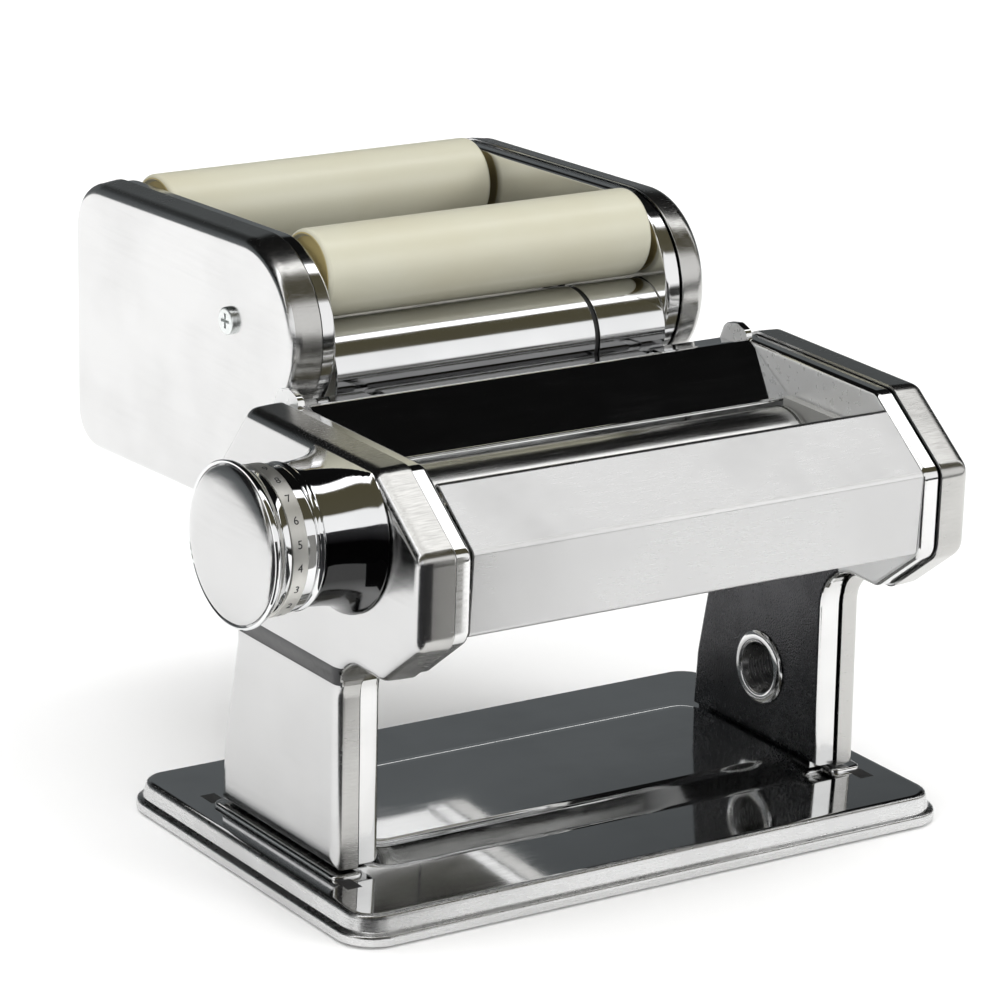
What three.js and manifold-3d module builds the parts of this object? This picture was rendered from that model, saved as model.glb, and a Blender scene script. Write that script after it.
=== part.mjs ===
// Hand-cranked pasta roller machine with a clip-on ravioli attachment behind it.
// Millimetres, +Z up, rollers along X, the hopper side towards -Y.
// The origin is the middle of the underside, on the surface that the machine stands on.
import * as THREE from 'three';
import { mergeVertices } from 'three/addons/utils/BufferGeometryUtils.js';
import Module from 'manifold-3d';

const wasm = await Module();
wasm.setup();

// ---------------------------------------------------------------- driving dimensions
const GAP = 0.35;                 // air left between neighbouring solids
const SHEET = 1.0;                // sheet steel

const BASE = { halfX: 104.6, halfY: 64, corner: 9, top: 9.2, lip: 3, lipTop: 4.2, lipFoot: 0.5 };
const MAT_THICK = 2;
const PLATEAU = { top: 13.2, halfX: 79.3, frontTop: -25, backTop: 27, slope: 11 };

const FRAME_X = 80;               // inner face of a side frame
const FLANGE_X = 85.3;            // outer edge of its flange
const RIM_X = 86.2;               // inner rim of the outer cover
const HEAD_X = 97.5;              // outer face of the cover's head
const HEAD_TOP = 138.2;             // top of the head, at the cover's rim
const LEG_X = 95;                 // outer face of the cover's leg
const FOOT_Z = 10.9;              // lower edge of frames and covers

const ROLLER_R = 14.2;            // smooth dough rollers
const ROLLER_HALF = 75;
const DRIVE = { y: -17, z: 110 };             // fixed, driven roller
const THROW = 1.4;                            // eccentricity of the adjuster axle
const NIP_MIN = 0.35;                         // thinnest dough setting
const ADJUST = { y: DRIVE.y - 2 * ROLLER_R - NIP_MIN - THROW, z: DRIVE.z };
const REST_ANGLE = 10;                        // throw angle from straight forward at setting 0
const DIAL = { y: -36.5, z: 117.3 };          // dial axis on the left head
const GEAR_TEETH = 12;
const CREAM_R = 13.6;
const CRANK_FLATS = 8;                        // across the flats of the hexagon crank sockets

const TILT = THREE.MathUtils.degToRad(-2.7);  // the attachment leans back on its hooks
const ATT = { y: 48.6, z: 165.3 };            // its frame's origin, on the front cream roller
const ATT_FRAME_X = 60;
const ATT_FLANGE_X = 64.7;
const ATT_RIM_X = 65.4;
const ATT_FACE_X = 75.3;
const ATT_ROLLER_HALF = 58.6;
const REAR_CREAM = { y: 88.5, z: 0.5 };
const GUARD = { y: -5.3, z: -28.1, r: 14.4, gapX: 34.3 };
const FORMING = { r: 17, z: -46, mid: 44.2 };
const FORMING_TEETH = 14;
const HANGER = { y: 25, z: 118 };             // rod that the attachment hooks over
const REST_ROD = { y: 25.5, z: 88 };          // rod that its hooks lean on
const ROD_R = 3;
const HOOK_X = 50;
const CLAMP = { y: -3.8, z: 34.9, r: 10 };

// Corners of the head-and-leg outline as [y, z, radius], at the rim of the outer cover.
const SIDE = [
  [-35.2, FOOT_Z, 1], [-32.6, 77, 13], [-57.5, 76.6, 6], [-77.7, 92.6, 7], [-77.4, 119.2, 6],
  [-51.5, HEAD_TOP, 6], [17.5, HEAD_TOP, 5], [33.5, 117.2, 7], [33.5, 84, 9], [24.4, 66, 8],
  [30.6, 30, 14], [31.2, FOOT_Z, 1],
];
// The attachment's side outline in its own tilted frame.
const ATT_SIDE = [
  [8.5, 12.1, 0.5], [111.6, 12.1, 16.5], [111.6, -75, 13], [25.5, -75, 6], [-12, -37.5, 1],
];
const ATT_NOSE = { y: 8.5, z: -17, r: 29.1 };

// ---------------------------------------------------------------- geometry helpers
const rad = THREE.MathUtils.degToRad;
const polar = (y, z, r, deg) => [y + r * Math.cos(rad(deg)), z + r * Math.sin(rad(deg))];

// Rounds the corners [y, z, radius] of a closed outline and draws it `inset` inside itself.
function outline(corners, inset = 0, steps = 3) {
  const n = corners.length;
  const heading = corners.map(([y, z], i) => {
    const [y2, z2] = corners[(i + 1) % n];
    const length = Math.hypot(y2 - y, z2 - z);
    return [(y2 - y) / length, (z2 - z) / length];
  });
  const doubleArea = corners.reduce((sum, [y, z], i) => {
    const [y2, z2] = corners[(i + 1) % n];
    return sum + y * z2 - y2 * z;
  }, 0);
  const side = Math.sign(doubleArea);
  const points = [];
  corners.forEach(([y, z, radius = 0], i) => {
    const a = heading[(i + n - 1) % n];
    const b = heading[i];
    const dot = a[0] * b[0] + a[1] * b[1];
    const turn = Math.atan2(a[0] * b[1] - a[1] * b[0], dot);
    const k = (side * inset) / (1 + dot);
    const corner = [y - (a[1] + b[1]) * k, z + (a[0] + b[0]) * k];
    if (radius === 0) {
      points.push(corner);
      return;
    }
    const r = Math.max(turn * side > 0 ? radius - inset : radius + inset, 0.1);
    const left = Math.sign(turn);
    const run = r * Math.tan(Math.abs(turn) / 2);
    const centre = [corner[0] - a[0] * run - a[1] * r * left, corner[1] - a[1] * run + a[0] * r * left];
    const from = Math.atan2(-a[0] * left, a[1] * left);
    for (let s = 0; s <= steps; s += 1) {
      const angle = from + (turn * s) / steps;
      points.push([centre[0] + r * Math.cos(angle), centre[1] + r * Math.sin(angle)]);
    }
  });
  return points;
}

// The attachment's side: straight edges, and a big round nose in front.
function attachmentOutline(inset = 0) {
  const points = outline(ATT_SIDE, inset, 3).slice(4, -4);
  for (let deg = 225; deg >= 90; deg -= 15) {
    points.push(polar(ATT_NOSE.y, ATT_NOSE.z, ATT_NOSE.r - inset, deg));
  }
  return points;
}

// A closed outline around a bent sheet that follows the open path of [y, z] points.
function sheetOutline(path, thickness = SHEET) {
  const half = thickness / 2;
  const edge = (sign) => path.map(([y, z], i) => {
    const before = path[Math.max(i - 1, 0)];
    const after = path[Math.min(i + 1, path.length - 1)];
    const unit = (p, q) => {
      const length = Math.hypot(q[0] - p[0], q[1] - p[1]) || 1;
      return [(q[0] - p[0]) / length, (q[1] - p[1]) / length];
    };
    const a = i > 0 ? unit(before, [y, z]) : unit([y, z], after);
    const b = i < path.length - 1 ? unit([y, z], after) : a;
    const k = (sign * half) / (1 + a[0] * b[0] + a[1] * b[1]);
    return [y - (a[1] + b[1]) * k, z + (a[0] + b[0]) * k];
  });
  return [...edge(1), ...edge(-1).reverse()];
}

function signedVolume(position, index) {
  const p = [0, 1, 2].map(() => new THREE.Vector3());
  let volume = 0;
  for (let i = 0; i < index.length; i += 3) {
    p.forEach((v, k) => v.fromBufferAttribute(position, index[i + k]));
    volume += p[0].dot(p[1].cross(p[2]));
  }
  return volume;
}

// Merges vertices, drops collapsed triangles and turns the faces outwards.
function closed(geometry) {
  const bare = geometry.clone();
  bare.deleteAttribute('normal');
  bare.deleteAttribute('uv');
  const merged = mergeVertices(bare, 1e-4);
  const source = merged.index.array;
  const kept = [];
  for (let i = 0; i < source.length; i += 3) {
    const [a, b, c] = [source[i], source[i + 1], source[i + 2]];
    if (a !== b && b !== c && c !== a) kept.push(a, b, c);
  }
  if (signedVolume(merged.attributes.position, kept) < 0) kept.reverse();
  merged.setIndex(kept);
  return merged;
}

// A solid through outlines of equal length, each at its own X.
function loft(layers) {
  const flat = ({ points }) => points.map(([y, z]) => new THREE.Vector2(y, z));
  const turnBack = THREE.ShapeUtils.area(flat(layers[0])) < 0;
  const stack = layers.map(({ x, points }) => ({ x, points: turnBack ? [...points].reverse() : points }));
  const count = stack[0].points.length;
  const last = (stack.length - 1) * count;
  const position = stack.flatMap(({ x, points }) => points.flatMap(([y, z]) => [x, y, z]));
  const index = [];
  THREE.ShapeUtils.triangulateShape(flat(stack[0]), []).forEach(([a, b, c]) => index.push(a, c, b));
  THREE.ShapeUtils.triangulateShape(flat(stack.at(-1)), [])
    .forEach(([a, b, c]) => index.push(last + a, last + b, last + c));
  for (let layer = 0; layer < stack.length - 1; layer += 1) {
    for (let i = 0; i < count; i += 1) {
      const a = layer * count + i;
      const b = layer * count + ((i + 1) % count);
      index.push(a, b, b + count, a, b + count, a + count);
    }
  }
  const geometry = new THREE.BufferGeometry();
  geometry.setAttribute('position', new THREE.Float32BufferAttribute(position, 3));
  geometry.setIndex(index);
  return closed(geometry);
}

const prism = (points, x0, x1) => loft([{ x: x0, points }, { x: x1, points }]);

// Turns a profile of [x, radius] points about the X axis through (y, z).
function turned(profile, y = 0, z = 0, sides = 24) {
  const points = profile.map(([x, r]) => new THREE.Vector2(r, x));
  const geometry = new THREE.LatheGeometry(points, sides);
  geometry.rotateZ(-Math.PI / 2);
  return closed(geometry.translate(0, y, z));
}

// A round bar, and a tube or ring, along X.
const bar = (r, x0, x1, y = 0, z = 0, sides = 16) => turned(
  [[x0, 0], [x0, r], [x1, r], [x1, 0]], y, z, sides);
const ring = (inner, outer, x0, x1, y = 0, z = 0, sides = 16) => turned(
  [[x0, inner], [x0, outer], [x1, outer], [x1, inner], [x0, inner]], y, z, sides);

const box = (x0, x1, y0, y1, z0, z1) => closed(new THREE.BoxGeometry(x1 - x0, y1 - y0, z1 - z0)
  .translate((x0 + x1) / 2, (y0 + y1) / 2, (z0 + z1) / 2));

function toSolid(geometry) {
  return new wasm.Manifold(new wasm.Mesh({
    numProp: 3,
    vertProperties: new Float32Array(geometry.attributes.position.array),
    triVerts: new Uint32Array(geometry.index.array),
  }));
}

function toGeometry(solid) {
  const mesh = solid.getMesh();
  const geometry = new THREE.BufferGeometry();
  geometry.setAttribute('position', new THREE.Float32BufferAttribute(mesh.vertProperties, 3));
  geometry.setIndex(Array.from(mesh.triVerts));
  return geometry;
}

const combine = (how, first, rest) => toGeometry(
  rest.reduce((solid, other) => solid[how](toSolid(other)), toSolid(first)));
const cut = (first, ...rest) => combine('subtract', first, rest);
const join = (first, ...rest) => combine('add', first, rest);
const overlap = (first, ...rest) => combine('intersect', first, rest);

// The same piece on the other side of the machine.
const mirrored = (geometry) => closed(geometry.clone().scale(-1, 1, 1));

const hexagon = (flats, y = 0, z = 0) => Array.from({ length: 6 },
  (_, i) => polar(y, z, flats / Math.sqrt(3), i * 60 + 30));

// A spur gear with deep, thin teeth, so that it stays in mesh when its centre moves.
function gear({ teeth, tip, root, bore, x0, x1, phase = 0, tipShare = 0.11, rootShare = 0.27 }) {
  const pitch = 360 / teeth;
  const points = [];
  for (let i = 0; i < teeth; i += 1) {
    const middle = i * pitch + phase;
    points.push(polar(0, 0, root, middle - rootShare * pitch), polar(0, 0, tip, middle - tipShare * pitch));
    points.push(polar(0, 0, tip, middle + tipShare * pitch), polar(0, 0, root, middle + rootShare * pitch));
  }
  return cut(prism(points, x0, x1), bar(bore, x0 - 1, x1 + 1));
}

// ---------------------------------------------------------------- base
// A level rounded rectangle, for stacking upwards.
function plate(halfX, halfY, corner, layers) {
  const rect = (grow) => outline([
    [-halfX - grow, -halfY - grow, corner + grow], [halfX + grow, -halfY - grow, corner + grow],
    [halfX + grow, halfY + grow, corner + grow], [-halfX - grow, halfY + grow, corner + grow]], 0, 4);
  const stack = loft(layers.map(([z, grow]) => ({ x: z, points: rect(grow) })));
  // The loft stacks along X: turn (x, y, z) into (y, z, x), so that it stacks along Z.
  return closed(stack.applyMatrix4(new THREE.Matrix4().set(0, 1, 0, 0, 0, 0, 1, 0, 1, 0, 0, 0, 0, 0, 0, 1)));
}

function baseMat() {
  return plate(BASE.halfX, BASE.halfY, BASE.corner, [[0, 0.6], [0.4, 1], [MAT_THICK, 1]]);
}

function basePan() {
  const { halfX, halfY, corner, top, lip, lipTop, lipFoot } = BASE;
  const outer = plate(halfX, halfY, corner, [
    [lipFoot, lip - 0.5], [lipFoot + 0.7, lip], [lipTop - 1.3, lip], [lipTop - 0.5, lip - 0.7],
    [lipTop, 1.2], [top - 1.2, 0.3], [top - 0.4, -0.1], [top, -1]]);
  const inner = plate(halfX, halfY, corner, [
    [lipFoot - 1, lip - 1.5], [lipTop - 1.5, lip - 1.5], [lipTop - 0.6, -0.4], [top - SHEET, -1.2]]);
  const wedge = ({ shrink, z }) => {
    const { halfX: hx, frontTop, backTop, slope } = PLATEAU;
    return prism(outline([
      [frontTop - slope + shrink, BASE.top - 3, 0], [frontTop - slope + shrink, BASE.top - z, 1],
      [frontTop + shrink, PLATEAU.top - z, 2], [backTop - shrink, PLATEAU.top - z, 2],
      [backTop + slope - shrink, BASE.top - z, 1], [backTop + slope - shrink, BASE.top - 3, 0]],
    0, 3), -hx + shrink, hx - shrink);
  };
  const raised = overlap(wedge({ shrink: 0, z: 0 }), box(-200, 200, -60, 60, BASE.top - 0.9, 20));
  let pan = join(cut(outer, inner), raised);
  pan = cut(pan, wedge({ shrink: SHEET, z: SHEET }));
  for (const sx of [-1, 1]) {
    pan = cut(pan, box(-2.4, 2.4, -3.4, 3.4, 6, 12).translate(sx * 93.6, 36.6, 0),
      box(-2.4, 2.4, -3.4, 3.4, 6, 12).translate(sx * 93.6, -39.8, 0));
  }
  return pan;
}

// ---------------------------------------------------------------- side frames and covers
const hole = (r, y, z) => bar(r, 60, 120, y, z, 20);

// Pressed side frame: a plate with a flange turned outwards all round.
function innerFrame({ driveHole, adjustHole }) {
  const rim = 1;
  const body = loft([
    { x: FRAME_X, points: outline(SIDE, rim + 1.2) },
    { x: FRAME_X + 1.4, points: outline(SIDE, rim) }, { x: FLANGE_X, points: outline(SIDE, rim) }]);
  const pocket = prism(outline(SIDE, rim + SHEET), FRAME_X + 1.3, FLANGE_X + 1);
  const foot = box(FRAME_X + 0.6, FLANGE_X, -30, 28, BASE.top + GAP, FOOT_Z + rim + SHEET);
  const lug = prism(outline([[12, 134, 0], [14.5, 140.4, 2.5], [23, 140.2, 3], [27.5, 132, 2], [24, 126, 0]], 0, 3),
    FRAME_X + 0.2, FRAME_X + 2.4);
  return cut(join(cut(body, pocket), lug, foot),
    hole(driveHole, DRIVE.y, DRIVE.z), hole(adjustHole, ADJUST.y, ADJUST.z),
    hole(CLAMP.r, CLAMP.y, CLAMP.z),
    hole(ROD_R - 1 + GAP, HANGER.y, HANGER.z), hole(ROD_R - 1 + GAP, REST_ROD.y, REST_ROD.z));
}

// Pressed outer cover: a shell that opens inwards, its leg set in from its head by a sloped step.
function outerCover(holes) {
  const layer = (x, inset) => ({ x, points: outline(SIDE, inset) });
  const shell = (t, x0) => {
    const whole = loft([layer(x0, t), layer(HEAD_X - 4, t + 0.1), layer(HEAD_X - 1.6, t + 0.6),
      layer(HEAD_X - 0.5, t + 1.4), layer(HEAD_X - t, t + 2.4)]);
    const low = FOOT_Z - 5;
    const step = prism([[LEG_X - t, low], [HEAD_X + 9, low], [HEAD_X + 9, 74.2], [HEAD_X - t, 74.2],
      [LEG_X - t, 64.6]], -60, 60);
    // The step's section lies in the XZ plane, so turn its X into -Y and its Y into X.
    step.applyMatrix4(new THREE.Matrix4().set(0, 1, 0, 0, -1, 0, 0, 0, 0, 0, 1, 0, 0, 0, 0, 1));
    return cut(whole, closed(step));
  };
  const hollow = cut(shell(0, RIM_X), shell(SHEET, RIM_X - 1));
  return holes.length ? cut(hollow, ...holes) : hollow;
}

function clampBush() {
  const { y, z, r } = CLAMP;
  const profile = [[FRAME_X - 1.1, 8.3], [FRAME_X - 1.1, 10.8], [FRAME_X - GAP, 11.6],
    [FRAME_X - GAP, r - GAP], [91.5, r - GAP], [91.5, 0], [90.3, 0], [90.3, 7.4], [FRAME_X, 7.4],
    [FRAME_X - 1.1, 8.3]];
  return turned(profile, y, z, 24);
}

// ---------------------------------------------------------------- fixed sheets and rods between the frames
const BETWEEN = FRAME_X - GAP;
const acrossSheet = (path, half = BETWEEN, thickness = SHEET) => prism(sheetOutline(path, thickness), -half, half);

const frontPanel = () => acrossSheet([
  [-55.6, 130.4], [-55.8, 131.6], [-56.5, 132.4], [-57.6, 132.2], [-74.6, 119.2], [-75.7, 117.8], [-75.9, 116.4],
  [-75.2, 94.6], [-74.9, 93.9], [-74.2, 93.6], [-70.5, 93.6]]);
const hopperPlate = () => acrossSheet([
  [13.6, 134], [13.4, 135.7], [12.4, 136.8], [10.9, 136.8], [-10.2, 124.9], [-11.2, 124.6]]);
const frontGuide = () => acrossSheet([[-62.5, 124.2], [-61.5, 126.4], [-60, 127.2], [-51.5, 125.9]], ROLLER_HALF - 1);

// The rear panel turns back at its top into a ledge, notched so that the attachment's hooks pass.
function rearPanel() {
  const sheet = acrossSheet([
    [26.2, 130], [26.2, 132.9], [25.1, 134], [16.2, 134.2], [15, 133], [15, 90.4], [14.4, 88.8], [12.8, 88.2],
    [9.5, 88.2]]);
  const notch = (x) => box(x - 2.4, x + 2.4, 16.4, 32, 125, 137);
  return cut(sheet, notch(-HOOK_X), notch(HOOK_X));
}

// A cheek at each end of the rollers keeps the dough off the frames.
function doughGuide() {
  const body = box(ROLLER_HALF + 1, BETWEEN - GAP, -53, -12.4, 117, 125.8);
  return cut(body, bar(8, 70, 85, DRIVE.y, DRIVE.z), bar(11, 70, 85, ADJUST.y, ADJUST.z, 20));
}

const scraperTip = ROLLER_R + GAP;
const rearScraper = () => acrossSheet(
  [polar(DRIVE.y, DRIVE.z, scraperTip + 0.2, -52), [-3.2, 92.4], [-3.6, 89.9], [-2.6, 89.6]], 74, 0.8);
const frontScraper = () => acrossSheet(
  [polar(ADJUST.y - THROW, ADJUST.z, scraperTip + 0.2, -128), [-63.4, 92.4], [-63, 89.9], [-64, 89.6]], 74, 0.8);

const tieRod = (y, z) => turned([[-BETWEEN, 0], [-BETWEEN, ROD_R], [BETWEEN, ROD_R], [BETWEEN, 0]], y, z, 16);
const steppedRod = (y, z) => turned([
  [-FRAME_X - 3.5, 0], [-FRAME_X - 3.5, ROD_R - 1], [-BETWEEN, ROD_R - 1], [-BETWEEN, ROD_R],
  [BETWEEN, ROD_R], [BETWEEN, ROD_R - 1], [FRAME_X + 3.5, ROD_R - 1], [FRAME_X + 3.5, 0]], y, z, 16);

// ---------------------------------------------------------------- driven roller
const SHAFT_R = 5;
const GEAR_X = [83.2, 89.4];

function driveRoller() {
  const neck = ROLLER_HALF - 2.9;
  const profile = [
    [-86.5, 0], [-86.5, SHAFT_R], [-ROLLER_HALF, SHAFT_R], [-ROLLER_HALF, ROLLER_R],
    [-neck - 1, ROLLER_R], [-neck - 1, ROLLER_R - 1.2], [-neck, ROLLER_R - 1.2], [-neck, ROLLER_R],
    [neck, ROLLER_R], [neck, ROLLER_R - 1.2], [neck + 1, ROLLER_R - 1.2], [neck + 1, ROLLER_R],
    [ROLLER_HALF, ROLLER_R], [ROLLER_HALF, SHAFT_R],
    [89.8, SHAFT_R], [89.8, 0]];
  return turned(profile, 0, 0, 20);
}

// A short sleeve with a hexagon hole, which takes the tip of the crank handle.
const crankCoupler = (r, x0, x1) => cut(bar(r, x0, x1), prism(hexagon(CRANK_FLATS), x0 + 0.8, x1 + 1));

const mainGear = (bore, phase) => gear({
  teeth: GEAR_TEETH, tip: 16.9, root: 11.4, bore, x0: GEAR_X[0], x1: GEAR_X[1], phase, tipShare: 0.1, rootShare: 0.2 });

const driveBush = () => ring(SHAFT_R + GAP, 7.6, FRAME_X - 1.4, FRAME_X + 2.8);
const crankRing = () => turned([
  [HEAD_X + GAP, 7.4], [HEAD_X + GAP, 12.4], [HEAD_X + 1.3, 12.4], [HEAD_X + 2.2, 11.4],
  [HEAD_X + 2.2, 8.2], [HEAD_X + 1.5, 7.4], [HEAD_X + GAP, 7.4]]);

// ---------------------------------------------------------------- adjustable roller and its axle
const AXLE_R = 4;
const BUSH_X = [64, 73.4];

// The axle turns in the frames; its long middle is offset by THROW, and the roller turns on that.
function adjusterAxle() {
  const middle = bar(AXLE_R, -78, 90.6).translate(0, -THROW, 0);
  return join(middle, bar(3, -92, -77), bar(2.4, 90, 94.4));
}

function adjustableRoller() {
  const profile = [
    [-ROLLER_HALF, 9.2], [-ROLLER_HALF, ROLLER_R], [ROLLER_HALF, ROLLER_R], [ROLLER_HALF, 7.6], [90, 7.6],
    [90, AXLE_R + GAP], [BUSH_X[1] + GAP, AXLE_R + GAP], [BUSH_X[1] + GAP, 9.2], [-ROLLER_HALF, 9.2]];
  return turned(profile, 0, 0, 20);
}

const rollerBush = () => ring(AXLE_R + GAP, 9.2 - GAP, BUSH_X[0], BUSH_X[1]);

// ---------------------------------------------------------------- dial
const PINION = { teeth: 12, tip: 7.25, root: 5.3, x0: -91, x1: -85.5 };
const pinion = (bore, phase) => gear({ ...PINION, bore, phase, tipShare: 0.1, rootShare: 0.2 });
const KNOB_BACK = -116.1;
const KNOB_FRONT = -133.9;

function dialBoss() {
  const face = -HEAD_X - GAP;
  const profile = [[face, 6.2], [face, 25], [face - 0.9, 25], [face - 2.6, 23.4], [face - 5, 22.2],
    [face - 9, 21], [-115.2, 20.3], [-115.7, 19.9], [-115.7, 17.6], [-112, 17.2], [-112, 6.2], [face, 6.2]];
  let boss = turned(profile.reverse(), 0, 0, 20);
  for (let i = 0; i < 10; i += 1) {
    const [y, z] = polar(0, 0, 13.2, 120 - i * 18);
    boss = cut(boss, bar(1.6, -113, -110.5, y, z, 6));
  }
  // Its flared foot is trimmed level with the top edge of the head.
  return cut(boss, box(-112, -90, -40, 40, HEAD_TOP - 1 - DIAL.z, 60));
}

const dialShaft = () => turned([
  [-84.2, 0], [-84.2, 4], [-111.2, 4], [-111.2, 4.6], [-112.4, 4.6], [-112.4, 4], [-127.8, 4], [-127.8, 6.2],
  [-129.4, 6.2], [-129.4, 0]].reverse(), 0, 0, 16);

function dialKnob() {
  return turned([
    [KNOB_BACK, 5.2], [KNOB_BACK, 20.9], [KNOB_BACK - 0.5, 21.4], [-122.1, 21.5], [-122.1, 21.1], [-127.1, 21.1],
    [-127.1, 21.5], [-129.4, 21.9], [-131.3, 23.4], [-132.6, 24.1], [KNOB_FRONT, 24], [KNOB_FRONT, 23],
    [-132.8, 22.3], [-132.8, 6.9], [-119.3, 6.9], [-119.3, 5.2], [KNOB_BACK, 5.2]], 0, 0, 20);
}

const numberRing = () => ring(21.4, 22.1, -126.8, -122.4, 0, 0, 20);
const dialCap = () => turned([
  [-133.15, 0], [-133.15, 21.6], [-133.9, 21.7], [-134.7, 20.9], [-135.6, 18.4], [-136.5, 13.6], [-137, 7.4],
  [-137.2, 0]].reverse(), 0, 0, 20);
const lockPin = () => bar(1.2, KNOB_BACK + GAP, -112 - GAP, 0, 0, 8);

// The return spring sits inside the knob, between its back wall and the shaft's head.
const dialSpring = () => ring(4.6, 6.3, -127.45, -119.65);

// ---------------------------------------------------------------- ravioli attachment, in its tilted frame
const ATT_BETWEEN = ATT_FRAME_X - GAP;
const formingY = [FORMING.mid - FORMING.r - 0.4, FORMING.mid + FORMING.r + 0.4];

function attachmentFrame() {
  const layer = (x, inset) => ({ x, points: attachmentOutline(inset) });
  const body = loft([layer(ATT_FRAME_X, 2), layer(ATT_FRAME_X + 0.4, 1.2), layer(ATT_FRAME_X + 1.3, 0.8),
    layer(ATT_FLANGE_X, 0.8)]);
  const pocket = loft([layer(ATT_FRAME_X + 1.2, 1.8), layer(ATT_FLANGE_X + 1, 1.8)]);
  return cut(body, pocket,
    bar(5.4, 55, 70, formingY[0], FORMING.z), bar(5.4, 55, 70, formingY[1], FORMING.z),
    bar(3.8, 55, 70), bar(3.8, 55, 70, REAR_CREAM.y, REAR_CREAM.z));
}

function attachmentCover(holes = []) {
  const layer = (x, inset) => ({ x, points: attachmentOutline(inset) });
  const shell = (t, x0) => loft([layer(x0, t), layer(ATT_FACE_X - 4.5, t + 0.3), layer(ATT_FACE_X - 2.4, t + 1.1),
    layer(ATT_FACE_X - 0.9, t + 2.2), layer(ATT_FACE_X - t, t + 3.4)]);
  return cut(shell(0, ATT_RIM_X), shell(SHEET, ATT_RIM_X - 1), ...holes);
}

function guard(x0, x1, inset = 0) {
  const path = [];
  for (let deg = 62; deg <= 262; deg += 12.5) path.push(polar(GUARD.y, GUARD.z, GUARD.r - SHEET / 2 - inset, deg));
  return prism(sheetOutline(path), x0, x1);
}

const frontApron = () => prism(sheetOutline([
  polar(GUARD.y, GUARD.z, GUARD.r + 1.9, 250), [-8.2, -44.6], [18, -70.8], [20, -71.9], [22, -72.2]]),
-ATT_BETWEEN, ATT_BETWEEN);
const attachmentRear = () => prism(sheetOutline([
  [100.4, -15.6], [103.4, -16.8], [105.6, -19.4], [106.6, -22.6], [106.6, -66], [105.4, -69.4], [102, -71.2],
  [84, -71.6]]), -ATT_BETWEEN, ATT_BETWEEN);

// An open-ended V that leads the filling to the forming rollers.
function fillingChute() {
  const { mid } = FORMING;
  const vee = (t) => [[mid - 20 + t, -9 + t], [mid + 20 - t, -9 + t], [mid + 5.6 - t, -27 - t], [mid - 5.6 + t, -27 - t]];
  const half = ATT_BETWEEN - 1;
  return cut(prism(vee(0), -half, half), prism(vee(1.2), -half + 1.2, half - 1.2));
}

// A roller that guides the pasta sheet, moulded in one piece with its end pins.
function creamRoller() {
  const half = ATT_ROLLER_HALF;
  return turned([
    [-62.8, 0], [-62.8, 3.4], [-half, 3.4], [-half, CREAM_R - 1], [-half + 1, CREAM_R],
    [half - 1, CREAM_R], [half, CREAM_R - 1], [half, 3.4], [62.8, 3.4], [62.8, 0]], 0, 0, 20);
}

// A grooved roller that presses the pockets, with its shaft.
function formingRoller() {
  const { r } = FORMING;
  const half = ATT_ROLLER_HALF;
  const profile = [[-63, 0], [-63, 4.8], [-half, 4.8], [-half, r]];
  for (const x of [-38, 0, 38]) profile.push([x - 16, r], [x - 14.5, r - 4], [x + 14.5, r - 4], [x + 16, r]);
  profile.push([half, r], [half, 4.8]);
  profile.push([70.8, 4.8], [70.8, 0]);
  return turned(profile, 0, 0, 16);
}

const formingGear = (phase) => gear({
  teeth: FORMING_TEETH, tip: 18.9, root: 15.2, bore: 5.2, x0: 65.2, x1: 70.6, phase, tipShare: 0.12, rootShare: 0.22 });

function coverScrew() {
  const face = ATT_FACE_X + 0.3;
  const head = turned([[face, 0], [face, 4.1], [face + 0.8, 3.9], [face + 1.6, 3], [face + 2, 1.6], [face + 2.1, 0]],
    0, 0, 16);
  const arm = (y, z) => box(face + 1, face + 3, -y, y, -z, z);
  return cut(head, arm(2.2, 0.45), arm(0.45, 2.2));
}

// A hook plate that drops over the hanger rod and leans on the rest rod, in the machine's frame.
function hook(x) {
  const slot = ROD_R + GAP;
  const points = [[17.5, 112], [HANGER.y - slot, 112]];
  for (let deg = 180; deg >= 0; deg -= 30) points.push(polar(HANGER.y, HANGER.z, slot, deg));
  points.push([HANGER.y + slot, 104], [REST_ROD.y + slot, 103], [REST_ROD.y + slot, 83], [33, 83],
    [46.5, 109.6], [37.5, 119.8], [34, 122.2], [20, 122.2], [17.5, 119.5]);
  return prism(points, x - 1.2, x + 1.2);
}

// ---------------------------------------------------------------- finishes
const FINISH = {
  chrome: { color: 0xd9dcde, roughness: 0.12, metalness: 1 },
  satin: { color: 0xd6d7d8, roughness: 0.3, metalness: 1 },
  steel: { color: 0xb9bcbf, roughness: 0.25, metalness: 1 },
  brass: { color: 0xb08d4f, roughness: 0.35, metalness: 1 },
  cream: { color: 0xe6dfc0, roughness: 0.35, metalness: 0 },
  black: { color: 0x141414, roughness: 0.6, metalness: 0 },
  nylon: { color: 0xe9e7df, roughness: 0.5, metalness: 0 },
};

function piece(name, geometry, finish, y = 0, z = 0, x = 0) {
  const mesh = new THREE.Mesh(geometry, new THREE.MeshStandardMaterial(FINISH[finish]));
  mesh.name = name;
  mesh.position.set(x, y, z);
  return mesh;
}

// ---------------------------------------------------------------- assembly
const machine = new THREE.Group();

machine.add(
  piece('base_mat', baseMat(), 'black'),
  piece('base_pan', basePan(), 'chrome'),
);

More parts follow.
